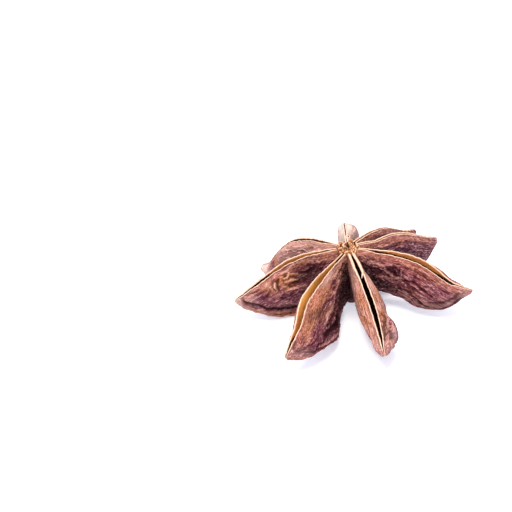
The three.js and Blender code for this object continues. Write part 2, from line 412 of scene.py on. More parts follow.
# One carpel each. Directions, slopes and lean are in degrees, sizes and heights in millimetres; hold
# and tipHold are shares of the reach. Square is how high up the wall stays wide, rough how strongly
# it is wrinkled, and lined how far down the lining is lit. Folds are lines of points with their width
# and how deep they are sunk (a ridge is sunk by less than nothing). Patches are tints: their middle,
# half length, half width and strength. Places are given as millimetres from the column and, round the
# wall, from the keel, less than nothing on the second side.
carpels = {
    "carpelRight": dict(
        angle=18, reach=13.7, rise=2, hold=0.66, tipHeight=5.7, tipSlope=-21, tipHold=0.39,
        keelIn=0.8, keelOut=0.8, halfWidth=1.9, lean=0, bend=1.2, square=0.2,
        rough=0.9, lined=0.3,
        slit=[(0, 0.18), (0.3, 0.3), (0.7, 0.3), (1, 0.02)],
        seamLifts=[(0.12, 0.08, -0.35)],
        patches=dict(
            mauve=[(7, -5, 9, 7, 1)],
            dark=[(2, -3, 4, 4.5, 0.9), (7, -4.5, 4, 1.5, 0.4)],
        )),
    "carpelRightBack": dict(
        angle=46, reach=15.2, rise=-2, hold=0.57, tipHeight=3.6, tipSlope=-17, tipHold=0.34,
        keelIn=-0.9, keelOut=-0.9, halfWidth=1.9, lean=0, bend=0.4, square=0.2,
        rough=0.8, lined=0.3,
        slit=[(0, 0.18), (0.3, 0.3), (0.7, 0.3), (1, 0.02)],
        patches=dict(
            mauve=[(8, -7, 10, 8, 1)],
            dark=[(8, -6, 9, 5, 0.3)],
        )),
    "carpelBack": dict(
        angle=88, reach=15.5, rise=5, hold=0.5, tipHeight=3.2, tipSlope=-24, tipHold=0.28,
        keelIn=-0.8, keelOut=-0.8, halfWidth=1.45, lean=0, bend=-0.1, square=0.6,
        rough=0.4, lined=0.25, backlitLipSheen=0.6,
        sides=(0.68, 1.3),
        slit=[(0, 0.06), (0.2, 0.1), (0.7, 0.12), (1, 0.02)],
        seamLifts=[(0.45, 0.3, -0.25)],
        # the pale and white patches are painted highlight of light from behind on this carpel's upper walls
        patches=dict(
            beige=[(5, -8, 9, 7, 1)],
            mauve=[(5, 9.5, 8, 5, 0.8)],
            pale=[(9, 6, 9, 5, 0.7), (9, -6, 9, 5, 0.7)],
            white=[(5, 9.5, 7, 4.5, 0.72), (5, -10.2, 7, 2.8, 0.75)],
        )),
    "carpelLeftBack": dict(
        angle=147, reach=14, rise=5, hold=0.63, tipHeight=2.8, tipSlope=-42, tipHold=0.42,
        keelIn=-0.7, keelOut=-0.6, halfWidth=1.9, lean=0, bend=0, square=0.2,
        rough=1.9, lined=0.08, sags=(0.15, 0),
        sides=(1, 0.78),
        slit=[(0, 0.08), (0.1, 0.2), (0.25, 0.34), (0.4, 0.3), (0.55, 0.14), (1, 0.02)],
        seamLifts=[(0.86, 0.05, -0.3), (0.98, 0.04, 0.2)],
        patches=dict(
            tan=[(10.5, 6.2, 1.2, 1.6, 0.9)],
            mauve=[(6, 6.5, 9, 5, 0.4)],
            pale=[(5, 8.5, 7, 3, 0.45), (9, 8, 3, 3, 0.5), (14, 2, 3.5, 5, 0.7),
                (8.6, 8.3, 1.3, 0.8, 0.8), (6.2, 8.9, 1, 0.5, 0.7)],
            white=[(13.9, 2, 1.6, 3, 0.45)],
        )),
    "carpelLeft": dict(
        angle=185, reach=15.9, rise=6.5, hold=0.5, tipHeight=4.1, tipSlope=-27, tipHold=0.37,
        keelIn=-1.2, keelOut=-0.4, halfWidth=2.1, lean=0, bend=0, square=0.1,
        rough=0.8, lined=0.7, shade=(0.5, 0.68), tipLip=0.1, sags=(0.15, 0),
        sides=(1, 0.8),
        slit=[(0, 0.18), (0.15, 0.24), (0.25, 0.5), (0.4, 0.65), (0.55, 0.5), (0.66, 0.36), (0.85, 0.3),
            (0.95, 0.2), (1, 0.04)],
        folds=[
            ([(8.9, 7.9), (9.2, 7.5), (9.3, 6.9), (9.1, 6.4)], 0.16, 0.24),
            ([(9.9, 7.5), (10, 7), (9.8, 6.5)], 0.15, 0.16),
            ([(7.9, 8.3), (7.7, 8.4)], 0.15, 0.2),
            ([(8.2, 8.7), (7.6, 8.9), (7.2, 8.6), (7.5, 8.1), (8.1, 8)], 0.13, -0.16),
            ([(7.6, 8.8), (7, 9.2), (6.3, 9.6)], 0.14, -0.15),
            ([(9.55, 7.3), (9.65, 6.8)], 0.15, -0.22),
            ([(6.8, 7.1), (6.4, 7.1)], 0.18, 0.25),
            ([(8, 7.9), (7.2, 8), (6.5, 7.8)], 0.14, 0.11),
            ([(8.2, 7.1), (7.4, 7.2), (6.8, 7.2)], 0.14, 0.09),
            ([(7.6, 8.4), (6.9, 8.4), (6.2, 8.3)], 0.12, -0.1),
            ([(8, 7.5), (7.2, 7.6), (6.4, 7.4)], 0.12, -0.12),
            ([(8.3, 6.3), (7.4, 6.3), (6.6, 6.1)], 0.12, -0.12),
            ([(8.4, 6.7), (7.5, 6.7), (6.7, 6.6)], 0.12, 0.08),
            ([(5.9, 8.2), (5.3, 7.9), (4.8, 7.8), (3.8, 7.5)], 0.18, 0.14),
            ([(8.5, 5.2), (8.8, 5), (9.1, 5.2)], 0.12, 0.14),
            ([(14.6, 1.9), (13.2, 2.5), (12.4, 2.9), (10.8, 2.7), (9.4, 2.8), (7.5, 2.6),
              (5.5, 2.4)], 0.24, 0.3),
            ([(14.4, 3.1), (13.9, 3.5), (12.8, 4.7), (12, 5.4)], 0.12, 0.12),
            ([(15.5, 1.2), (15.4, 1.4)], 0.14, 0.2),
            ([(10.4, 6.2), (10.9, 5.2), (11.6, 4.4)], 0.18, 0.1),
        ],
        patches=dict(
            tan=[(7.7, 7.6, 2.2, 1.6, 1), (4.9, 9.2, 1.4, 0.8, 0.9), (10, 0.8, 5.5, 1.2, 0.9),
                (11, 5.9, 2.2, 0.7, 0.6), (10.2, 6.8, 1.7, 1.2, 0.9)],
            mauve=[(10, 5, 5, 3, 0.45), (13.5, 4, 3, 2.5, 0.8)],
            dark=[(4.6, 7.3, 2.3, 1.2, 0.9), (3.5, 4.5, 3.5, 2.6, 0.9), (8.5, 2.9, 4.5, 0.9, 0.8),
                (7, 9.8, 4.4, 1, 0.5), (4.2, 8.9, 3.2, 1.4, 0.5)],
            pale=[(13, 0.8, 3.6, 1, 0.55), (15.6, 1.5, 1.4, 2.5, 0.4), (13.9, 3.2, 1.8, 1.5, 0.35),
                (10.2, 6.8, 1.3, 1, 0.25)],
            white=[(15.9, 1.2, 1.1, 2, 0.22)],
        )),
    "carpelFrontLeft": dict(
        angle=238, reach=17.7, rise=5, hold=0.63, tipHeight=3.6, tipSlope=-50, tipHold=0.47,
        keelIn=-0.2, keelOut=1.4, halfWidth=2, lean=23, bend=-0.3, square=0.2,
        rough=0.9, lowNet=1, lined=2.6, shade=(0.7, 0.95), amber=1,
        sides=(1, 0.82),
        slit=[(0, 0.2), (0.05, 0.3), (0.1, 0.36), (0.15, 0.45), (0.2, 0.67), (0.27, 0.88), (0.4, 0.94),
            (0.48, 1.03), (0.55, 0.92), (0.7, 0.8), (0.82, 0.6), (0.92, 0.35), (1, 0.04)],
        drift=[(0, 0.15), (0.05, 0.22), (0.1, 0.18), (0.2, 0.08), (0.35, 0.06), (0.47, 0), (0.55, -0.13),
            (0.62, -0.09), (0.8, 0.2), (0.9, -0.2), (1, -0.5)],
        keelDrift=[(0, 0), (0.12, -0.75), (0.22, -0.75), (0.36, 0.1), (0.5, 1), (0.7, 0.7), (0.85, 0.1),
            (1, 0)],
        lifts=[(0.5, 0.13, 0.3), (0.68, 0.13, 0.55)],
        strip=dict(widths=[(0, 1.9), (1, 1.9)], start=6.3, end=15.5, tan=0.85),
        folds=[
            ([(1.5, 7.6), (4, 7.9), (6.3, 8.2), (7.7, 8.4), (9.5, 7.7), (12, 5.8), (13.3, 4), (14.3, 2.7),
              (15, 2.6), (16.4, 1.7), (17.5, 1.5)], 0.16, 0.1),
            ([(4.4, 7.2), (7.3, 7.4), (8.8, 6.4), (10.5, 5.9), (12.2, 4.3)], 0.14, -0.14),
            ([(7.5, 6.6), (8.7, 5.8), (10.3, 5), (11.6, 4.2)], 0.14, 0.14),
            ([(9, 4.1), (9.9, 3.6), (11.2, 3.2), (12.6, 2.7)], 0.45, 0.35),
            ([(6.6, 5.5), (7.6, 4.7), (8.8, 4.8)], 0.2, 0.22),
            ([(5, 1.2), (6.5, 0.9), (8.5, 1.2), (10.5, 1.3), (12.5, 1.3)], 0.3, -0.18),
            ([(14.6, 1.5), (14.3, 1.9), (13.2, 1.9)], 0.16, 0.2),
            ([(16.5, 3.4), (16.9, 2.7), (17.5, 1.9)], 0.14, 0.12),
        ],
        patches=dict(
            plain=[(14.5, 4.5, 2.6, 2.5, 0.8)],
            tan=[(3, 7.4, 3, 1.6, 0.5), (11.6, 6.1, 2.8, 1.3, 0.5), (9.3, 6.1, 0.8, 0.35, 0.9),
                (3.5, -9.5, 4, 1.2, 1), (13.4, 1.2, 0.9, 0.5, 0.8)],
            beige=[(2.6, 8, 3, 1.6, 1)],
            dark=[(4, 4.4, 4.5, 2.4, 0.9), (2.1, 6.6, 2, 1.3, 1), (9.9, 3.4, 2.6, 0.9, 0.85),
                (9.5, 5, 5.5, 3, 0.3), (11.6, 6.1, 2.8, 1.1, 0.5)],
            pale=[(5.5, 9.6, 3.4, 0.9, 0.7), (16.8, 0.8, 2.6, 1.6, 0.25), (6.3, 0.6, 1.4, 0.8, 0.6)],
        )),
    "carpelFront": dict(
        angle=276, reach=17.3, rise=-4, hold=0.51, tipHeight=3.8, tipSlope=-52, tipHold=0.33,
        keelIn=-1.4, keelOut=-0.3, halfWidth=2, taper=-0.3, lean=28, bend=0.65, square=0.9,
        rough=0.5, lined=-0.2, rootLip=0.25,
        sides=(
            [(0, 1), (0.34, 1), (0.45, 0.78), (0.57, 0.64), (0.67, 1), (0.8, 1.12), (1, 1)],
            [(0, 1), (0.3, 1.04), (0.55, 1.12), (0.8, 1.04), (1, 1)],
        ),
        slit=[(0, 0.12), (0.05, 0.25), (0.12, 0.44), (0.3, 0.55), (0.5, 0.6), (0.7, 0.52), (0.8, 0.38),
            (0.9, 0.18), (1, 0.03)],
        drift=[(0, 0.1), (0.05, 0.24), (0.2, 0.38), (0.5, 0.42), (0.7, 0.33), (0.85, 0.2), (1, 0)],
        keelDrift=[(0, 0), (0.6, 0), (0.8, -0.15), (0.9, -0.3), (1, 0)],
        keelLifts=[(0, 0), (0.4, 0.1), (0.5, 0.2), (0.6, 0.6), (0.7, 1), (0.8, 1.35), (0.88, 1.25),
            (0.95, 0.8), (1, 0.2)],
        seamLifts=[(1, 0.1, -0.15)],
        strip=dict(widths=[(0, 2.2), (0.6, 2.2), (0.75, 1.2), (1, 0.8)], start=-2, end=15.5, tan=0),
        folds=[
            ([(1.4, -8), (3.3, -8.3), (5.8, -8.6), (7.9, -8.4), (9.7, -8.2), (11.8, -7.6), (13.3, -6.6),
              (14.7, -5), (16.3, -2.8)], 0.14, 0.16),
            ([(5, 8.1), (8.8, 7.6), (10.8, 7.2)], 0.14, 0.14),
            ([(11.8, 6.9), (12.3, 6.4), (13.3, 6), (14, 5.3), (14.8, 4.1), (15.6, 3.4)], 0.18, 0.3),
            ([(13, 5.3), (13.8, 4.3), (14.4, 3.3)], 0.13, -0.17),
            ([(13.4, 4.3), (14.2, 3.1), (14.9, 2.4)], 0.13, -0.17),
            ([(12.9, 4.8), (13.6, 3.8), (14.2, 2.8)], 0.13, 0.14),
            ([(14, 4.7), (14.8, 3.3), (15.4, 2.7)], 0.13, 0.14),
        ],
        patches=dict(
            tan=[(9.5, -9.4, 5.5, 1.3, 0.9), (12.5, -7.2, 3, 1.4, 0.8), (9, 8.6, 6, 1, 1),
                (12.5, 7.1, 2.5, 1, 1)],
            beige=[(7, -9.4, 8, 2.1, 1), (8, 8.6, 9.5, 2.2, 1), (13.5, -6.4, 4, 2.6, 0.9)],
            mauve=[(14.3, 3.4, 2.2, 2.4, 0.9)],
            dark=[(14.2, 3.6, 1.8, 2, 0.25)],
            pale=[(4.5, 9, 4.5, 1.3, 0.5), (4, -9, 4, 1.3, 0.35), (16.6, 2, 2.2, 3, 0.3),
                (16.6, -3, 2.2, 3, 0.35), (14.5, 3, 1.2, 1.2, 0.3)],
        )),
    "carpelRightFront": dict(
        angle=334, reach=17, rise=5.5, hold=0.78, tipHeight=5, tipSlope=-3.5, tipHold=0.34,
        keelIn=1.4, keelOut=-1.2, footHeight=4.3, halfWidth=2.1, lean=0, bend=0.6, square=0.1,
        rough=1, lined=0.75, shade=(0.48, 0.74), sags=(0, 0.4),
        sides=(0.88, 1),
        slit=[(0, 0.1), (0.07, 0.12), (0.13, 0.2), (0.2, 0.42), (0.3, 0.52), (0.45, 0.58), (0.55, 0.44),
            (0.64, 0.3), (0.72, 0.2), (0.82, 0.15), (0.94, 0.12), (1, 0.06)],
        lifts=[(0.33, 0.13, 0.55), (0.87, 0.09, 0.6)],
        folds=[
            ([(8.5, -5.1), (8.8, -5.2), (9.5, -5.5), (10.9, -5.3), (12.1, -4.5)], 0.11, 0.22),
            ([(8.9, -4.7), (9.1, -4.8), (9.7, -4.9), (10.7, -4.8)], 0.1, 0.2),
            ([(9, -5), (10, -5.15), (11.2, -4.8)], 0.1, -0.1),
            ([(8.2, -2.8), (8.7, -3.1), (9.4, -3.2), (9.9, -3.3), (10.5, -3.2), (10.9, -2.8),
              (11.3, -2.1), (12, -1.7), (12.5, -1.7)], 0.14, 0.26),
            ([(12, -3.1), (12.4, -3.1), (13.2, -2.9), (13.9, -2.7), (15.1, -2), (15.9, -1.5)], 0.22, 0.12),
            ([(6.7, -5.3), (7, -5), (7.3, -5)], 0.2, 0.22),
            ([(6.5, -4.9), (6.9, -4.6), (7.4, -4.6), (7.6, -4.9)], 0.12, -0.16),
            ([(2.3, -4.6), (3.5, -5.1), (4.8, -5.6), (5.7, -6.2)], 0.16, -0.16),
            ([(3.6, -4.7), (4.8, -5), (5.4, -5.1)], 0.11, -0.13),
            ([(4.5, -3.5), (5.6, -3.9), (6.5, -4), (7.3, -4.4), (7.7, -4.7)], 0.11, -0.15),
            ([(5.2, -5), (6.1, -4.8), (6.8, -4.4)], 0.16, -0.16),
            ([(4.2, -4.7), (4.7, -4.5)], 0.2, 0.2),
            ([(5.7, -5.2), (6, -5.1)], 0.2, 0.2),
            ([(6, -4.3), (6.3, -4.2)], 0.16, 0.18),
            ([(8.3, -2.3), (8.3, -1.5)], 0.14, 0.12),
            ([(5.8, -5.7), (6.6, -6), (7.3, -5.8)], 0.12, 0.14),
            ([(7.4, -5.9), (7.8, -5.4), (7.9, -4.9)], 0.1, -0.12),
        ],
        patches=dict(
            tan=[(7.5, -7.2, 3.6, 0.8, 0.4), (10.5, -6.9, 2.2, 0.5, 0.3), (9.9, -3.9, 0.9, 0.4, 0.7)],
            beige=[(11, -2, 4.5, 1.5, 0.5)],
            mauve=[(14, -3.5, 3, 3, 0.3), (12.6, -6.2, 2.4, 1, 0.5), (15, -1.6, 3, 3, 0.8)],
            # the dark patches beside the column are partly painted shadow cast by the front carpel
            dark=[(2.5, -2.6, 4.2, 2.4, 1), (5.6, -2.4, 2.6, 1.5, 0.9), (6.5, -5.1, 2.4, 1.2, 0.65),
                (12.3, -2.4, 2.4, 0.9, 0.45), (2.6, -5.2, 1.4, 0.8, 0.4), (14.4, -1.2, 2.4, 0.6, 0.5)],
            pale=[(16, -1.5, 1.2, 0.8, 0.4)],
        )),
}


def slope(degrees, length):
    return length * np.array([math.cos(math.radians(degrees)), math.sin(math.radians(degrees))])


def carpelSpine(shape, t):
    # The seam and the keel, each a curve of distance from the fruit's axis and height
    reach = shape["reach"]
    start = np.array([husk["crownRadius"], husk["crownHeight"]])
    end = np.array([reach, shape["tipHeight"]])
    seam = bezier([
        start,
        start + slope(shape["rise"], shape["hold"] * reach),
        end - slope(shape["tipSlope"], shape["tipHold"] * reach),
        end,
    ], t)
    inner, outer = husk["keelPulls"]
    keel = bezier([
        (husk["footRadius"], shape["footHeight"]),
        (inner * reach, shape["keelIn"]),
        (outer * reach, shape["keelOut"]),
        (reach, shape["tipHeight"] - husk["beakThickness"]),
    ], t)
    return seam, keel


def carpelRows(shape):
    # Even steps along the seam, closer together at its ends: how far each row lies from the column,
    # and its share t of the way along the curves
    fine = np.linspace(0, 1, 600)
    distance = lengthsAlong(carpelSpine(shape, fine)[0])
    length = distance[-1]
    end = length * husk["endPart"]
    close = end * (1 - np.cos(np.linspace(0, 1, husk["endRows"]) * np.pi / 2))
    even = np.linspace(end, length - end, husk["rows"])[1:-1]
    along = np.concatenate([close, even, length - close[::-1]])
    return along, np.interp(along, distance, fine)


def ripple(along, kind, number, seed):  # an uneven line along the carpel, with its kind's size
    size, strength = husk[kind]
    place = np.stack([along / size, np.full_like(along, 3.7 * number), np.full_like(along, seed)], -1)
    return strength * layeredWaves(place, 7 * seed + number)


def carpelLines(shape, along, t, calm, seed):  # the spine with its ripples, lifts and humps
    seam, keel = carpelSpine(shape, t)
    seam[:, 1] += ripple(along, "seamRipple", 1, seed) * calm
    keel[:, 1] += ripple(along, "keelRipple", 2, seed) * calm * smooth(1 - t, 0.03, 0.2)
    keel[:, 1] += between(shape["keelLifts"], t)
    for line, humps in ((keel, shape["lifts"]), (seam, shape["seamLifts"])):
        for middle, reach, height in humps:
            line[:, 1] += height * np.exp(-((t - middle) / reach) ** 2)
    return seam, keel


def carpelLoop(shape, along, t, depth, gape, calm, seed):
    # Control points of each row's section, as one closed loop: up one outer wall, over the lip, down
    # inside to the floor of the hollow, and back the same way on the other side. A point is given as
    # millimetres sideways and as its share of the way from the seam down to the keel.
    bulge = husk["bulgeWidth"] * np.sin(np.pi * t ** husk["bulgeShift"]) ** 0.9
    fullWidth = shape["halfWidth"] * (mix(husk["rootWidth"], husk["beakWidth"], t) + bulge)
    fullWidth = fullWidth * (1 - shape["taper"] * smooth(t, 0.78, 0.97))
    opening = np.clip((t - husk["slitStart"]) / (1 - husk["slitStart"]), 0, 1)
    hollow = np.sqrt(np.clip(np.sin(np.pi * opening), 0, 1))
    floor = np.maximum(1 - 1.6 * husk["wall"] / depth, 0.25) * (0.25 + 0.75 * hollow)
    room = np.clip(depth / 2.5, 0.15, 1) / depth  # millimetres as shares; less where it is thin
    square = shape["square"]
    lipWidth = husk["lip"] + shape["rootLip"] * (1 - smooth(t, 0.1, 0.32))
    lipWidth = lipWidth + shape["tipLip"] * smooth(t, 0.55, 0.75)

    halves = []
    for side, share, sag in zip((1, -1), shape["sides"], shape["sags"]):
        width = fullWidth * (between(share, t) if np.ndim(share) else share)
        inner = np.maximum((width - husk["wall"]) * hollow, gape)
        slit = np.maximum(gape + ripple(along, "slitRipple", 4 + side, seed) * calm, 0.015)
        sagHere = sag * smooth(t, 0.02, 0.1) * smooth(1 - t, 0.1, 0.3)
        top = (sagHere - 0.07 - ripple(along, "lipRipple", 8 + side, seed) * calm) * room
        lip = np.minimum(slit + lipWidth * np.clip(depth / 1.5, 0.3, 1), 0.8 * width + slit * 0.2)
        half = [
            (0, 1),  # the keel and the outer wall
            (0.2 * width, 0.98),
            (0.46 * width, 0.85),
            (0.74 * width, 0.69),
            (0.95 * width, 0.53),
            (1.02 * width, mix(0.38, 0.34, square)),
            (0.97 * width, mix(0.25, 0.18, square)),
            (0.85 * width, np.maximum(mix(0.14, 0.09, square), top + 0.45 * room)),  # the shoulder
            (np.maximum(0.62 * width, lip * 1.05), np.maximum(mix(0.07, 0.055, square), top + 0.32 * room)),
            (np.maximum(mix(0.6 * width, lip, 0.65), lip * 1.02), np.maximum(0.12, top + 0.22) * room),
            (lip, top + 0.13 * room),  # the lip
            (mix(lip, slit, 0.3), top),
            (mix(lip, slit, 0.8), top),
            (slit, top + 0.13 * room),
            (slit, top + 0.35 * room),  # the lining
            (slit + 0.03 * hollow, np.maximum(np.minimum(0.95 * room, 0.3 * floor), top + 0.5 * room)),
            (mix(slit, inner, 0.3), np.minimum(1.6 * room, 0.42 * floor)),
            (inner, 0.52 * floor),
            (0.7 * inner, 0.68 * floor),
            (0.3 * inner, 0.84 * floor),
            (0, 0.92 * floor),  # the hollow's floor
        ]
        halves.append([np.stack(np.broadcast_arrays(*column, t)[:-1], 1) for column in zip(*half)])
    (across, drop), (otherAcross, otherDrop) = halves
    across = np.concatenate([across, -otherAcross[:, -2:0:-1]], 1)
    return across, np.concatenate([drop, otherDrop[:, -2:0:-1]], 1)


def sectionSamples():
    # Where the section's loop is sampled, most closely on the outer walls, and each sample's place on
    # its own side: 0 at the keel, 11 to 12 on the lip and 20 at the floor of the hollow
    half = np.concatenate([
        np.linspace(0, 10, husk["outerSamples"], endpoint=False),
        np.linspace(10, 14, husk["lipSamples"], endpoint=False),
        np.linspace(14, 20, husk["innerSamples"]),
    ])
    samples = np.concatenate([half, husk["loopPoints"] - half[-2:0:-1]])
    return samples, np.minimum(samples, husk["loopPoints"] - samples)


def carpelGrid(shape, along, t, gape, samples, place, seed):
    # The sections as a grid of points. The section leans more and more towards the beak, the curves
    # bend and drift sideways, and both ends are rounded off to a point by quarter circles.
    calm = smooth(t, 0.02, 0.12) * smooth(1 - t, 0, 0.08)
    seam, keel = carpelLines(shape, along, t, calm, seed)
    depth = np.linalg.norm(keel - seam, axis=1)
    weights = bSplineWeights(husk["loopPoints"], samples)
    across, drop = (line @ weights.T for line in carpelLoop(shape, along, t, depth, gape, calm, seed))
    lean = math.tan(math.radians(shape["lean"])) * t ** 1.2 * depth * (1 - 0.3 * smooth(t, 0.85, 1))
    swing = lean + between(shape["keelDrift"], t)
    sideways = shape["bend"] * t ** 2 + between(shape["drift"], t)
    across = across + sideways[:, None] + swing[:, None] * drop
    spot = mix(seam[:, None, :], keel[:, None, :], drop[..., None])
    angle = math.radians(shape["angle"])
    points = np.stack([
        husk["axis"][0] + spot[..., 0] * math.cos(angle) - across * math.sin(angle),
        husk["axis"][1] + spot[..., 0] * math.sin(angle) + across * math.cos(angle),
        spot[..., 1],
    ], -1)
    ends = np.minimum(along / husk["rootRound"], (along[-1] - along) / husk["beakRound"])
    cap = np.sqrt(1 - (1 - np.clip(ends, 0, 1)) ** 2)[:, None]
    middle = points[:, place < 10].mean(1, keepdims=True)
    return middle + (points - middle) * cap[..., None], middle, cap


def wallWaves(kind, place, seed):  # one of the relief's waves, at these places on the wall
    alongSize, aroundSize, strength, number = relief["waves"][kind]
    return strength * waves(place / np.array([alongSize, aroundSize, 1]), 31 * seed + number)


def wallPlaces(points, along, t, samples, seed):
    # Where each point lies on the wall. Distances are in millimetres, the lengths of the grid's edges
    # added up round each section: from the keel, and from the lip.
    side = np.where(samples <= husk["loopPoints"] / 2, 1, -1)
    length = along[-1]
    steps = np.linalg.norm(np.diff(points, axis=1, append=points[:, :1]), axis=-1)
    travelled = np.cumsum(steps, 1) - steps
    fromKeel = np.where(side > 0, travelled, steps.sum(1, keepdims=True) - travelled)
    lipAt = np.argmin(np.abs(samples - 11))
    fromLip = np.where(side > 0, fromKeel[:, [lipAt]], fromKeel[:, [-lipAt]]) - fromKeel
    along = np.broadcast_to(along[:, None], fromKeel.shape)
    layer = np.full_like(fromKeel, 5.3 * seed)
    wall = np.stack([along, side * fromKeel, layer], -1)
    return {
        "t": t[:, None],
        "along": along,
        "fromKeel": fromKeel,
        "fromLip": fromLip,
        "wall": wall,
        "grain": np.stack([along, -side * fromLip, layer], -1),  # follows the lip
        "tip": smooth(along, length - 2.6, length - 0.8),
        "ragged": wallWaves("rags", wall, seed) + wallWaves("fineRags", wall, seed),
    }


def carpelTints(shape, spots, seed):
    # Tinted patches with ragged edges and the calm strip under the lips, then what every carpel has:
    # tan shoulders, a mauve keel with a lighter rim, painted shade low on the wall by the column, where
    # the carpels crowd together, and a pale beak
    t, along, ragged = (spots[key] for key in ("t", "along", "ragged"))
    fromKeel, fromLip = spots["fromKeel"], spots["fromLip"]
    tints = dict.fromkeys(("plain", "tan", "beige", "mauve", "dark", "pale", "white"), 0)
    for key, patches in shape["patches"].items():
        for middleAlong, middleRound, length, width, strength in patches:
            size = np.array([length, width])
            place = spots["wall"][..., :2] + size * ragged[..., None] * 0.5
            patch = strength * patchStrength(place, (middleAlong, middleRound), size)
            tints[key] = np.maximum(tints[key], patch)
    if shape["strip"]:
        ends = shape["strip"]
        width = between(ends["widths"], t)
        strip = fromLip + 2 * ragged + wallWaves("stripEdge", spots["wall"], seed)
        strip = 1 - smooth(strip, width - 0.5, width + 0.5)
        strip = strip * smooth(along + ragged, ends["start"] - 1, ends["start"] + 1)
        strip = strip * (1 - smooth(along + ragged, ends["end"] - 1, ends["end"] + 1))
        for key, strength in (("plain", 1), ("tan", ends["tan"]), ("beige", 1 - ends["tan"])):
            tints[key] = np.maximum(tints[key], strength * strip)
    shoulder = (1 - smooth(fromLip + 1.6 * ragged, 0.4, 1.8)) * (1 - 0.7 * spots["tip"])
    nearKeel = smooth(-fromKeel + 2 * ragged, -4, -1)
    shadeNearColumn = (1 - smooth(t, 0.05, 0.3)) * smooth(fromLip + ragged, 1.5, 3.5)
    beak = spots["tip"] * smooth(ragged, -0.2, 0.2)
    for key, strength, share in (
        ("tan", 0.45, shoulder),
        ("mauve", 0.5, nearKeel),
        ("dark", 0.8, shadeNearColumn),
        ("pale", 0.35, beak),
    ):
        tints[key] = np.maximum(tints[key], strength * share)
    tints["rim"] = (1 - smooth(fromKeel + ragged, 0.3, 0.9)) * smooth(t, 0.25, 0.4)
    return tints


def wrinkles(shape, spots, seed):
    # A net of thin raised wrinkles near the column, long folds towards the keel with a groove above
    # it, and a furrow beside the lip: their height, and how rough and how grooved the wall is
    t, wall, fromKeel, fromLip = (spots[key] for key in ("t", "wall", "fromKeel", "fromLip"))
    bent = wall.copy()
    bent[..., 0] += wallWaves("bendAlong", wall, seed) + wallWaves("kinkAlong", wall, seed)
    bent[..., 1] += wallWaves("bendRound", wall, seed) + wallWaves("kinkRound", wall, seed)
    netEdge = wallWaves("netEdge", wall, seed)
    netted = 1 - 0.85 * smooth(t + 0.06 * netEdge, 0.42, 0.6)
    netted = np.maximum(netted, shape["lowNet"] * (1 - smooth(fromKeel + 0.8 * netEdge, 4.5, 6)))
    rough = shape["rough"] * netted * smooth(fromLip, 0.3, 1.3)
    net = rough * (creases(bent / np.array([1.6, 0.5, 1]), seed + 50) ** 1.5 - 0.3)
    folds = smooth(t, 0.12, 0.4) * smooth(-fromKeel, -3.5, -0.8)
    folds = folds * (creases(bent / np.array([4.5, 0.8, 1]), seed + 80) ** 1.5 - 0.2)
    groove = np.exp(-((fromKeel - 1.1 - wallWaves("grooveLine", wall, seed)) / 0.2) ** 2)
    groove = groove * smooth(t, 0.3, 0.45) * smooth(-t, -0.93, -0.8)
    furrow = np.exp(-((fromLip - 1.35 - wallWaves("furrowLine", wall, seed)) / 0.22) ** 2)
    furrow = furrow * smooth(t, 0.12, 0.3) * smooth(-t, -0.9, -0.7) * (1 + shape["square"])
    height = relief["net"] * net - relief["folds"] * folds
    height = height - relief["keelGroove"] * groove - relief["furrow"] * furrow
    return height, rough, groove


def ownFolds(shape, wall, seed):
    # This carpel's own folds, darkened by painted shade, and its ridges, lightened by painted highlight,
    # along uneven lines
    height = dark = light = 0
    shifts = [wallWaves(kind, wall, seed) for kind in ("markAlong", "markRound")]
    place = wall[..., :2] + np.stack(shifts, -1)
    uneven = 1 + wallWaves("markWidth", wall, seed)
    for line, width, sunk in shape["folds"]:
        strength = lineStrength(place, line, width * uneven)
        height = height - sunk * strength
        dark = dark + max(sunk, 0) * 3 * strength
        light = light + max(-sunk, 0) * 4 * strength
    return height, dark, light


def carpelRelief(shape, spots, plain, seed):
    # The height of the wall's relief, which is calmer where it is plain, and the fields that colour it:
    # painted highlight on crests and ridges, painted shade in sunk folds
    wall = spots["wall"]
    wrinkled, rough, groove = wrinkles(shape, spots, seed)
    folded, dark, light = ownFolds(shape, wall, seed)
    fine = wrinkled + folded + wallWaves("pimples", wall, seed) * (0.6 + 2 * spots["tip"])
    fine = fine + wallWaves("finePimples", wall, seed) + wallWaves("grain", spots["grain"], seed)
    fine = fine * (1 - 0.6 * plain)
    coarse = wallWaves("swells", wall, seed) + wallWaves("dents", wall, seed)
    height = np.maximum(fine + coarse * (1 - 0.5 * plain), -relief["deepest"])
    return height, {
        "net": rough,
        "crest": np.clip(fine / relief["fullCrest"], -1, 1),
        "foldShade": np.clip(dark + 0.4 * groove, 0, 1),
        "ridgeHighlight": np.clip(light, 0, 1),
    }


def liningFields(shape, spots, place, gape):
    # The lip, the lining under it, which is lit furthest down where the slit is widest, with painted
    # shade deeper in the slit, and the worn root beside the column
    t, along, fromLip, ragged = (spots[key] for key in ("t", "along", "fromLip", "ragged"))
    lining = smooth(place, 12.6, 13.1)
    lined = shape["lined"] * (gape / gape.max())[:, None] * smooth(t, 0.05, 0.14)
    lined = lined * (1 - smooth(t, *shape["shade"]))
    return {
        "lip": smooth(place + 0.6 * ragged, 10.5, 11.1) * (1 - lining),
        "lining": lining,
        "amber": shape["amber"] * (1 - smooth(t, 0.5, 0.8)) * lining,
        "inside": smooth(-fromLip - lined + 0.1 * ragged, 0.08, 0.3) * lining,
        "root": (1 - smooth(along + 2 * ragged, 1.5, 4)) * (1 - smooth(fromLip + ragged, 0.4, 1.6)),
    }


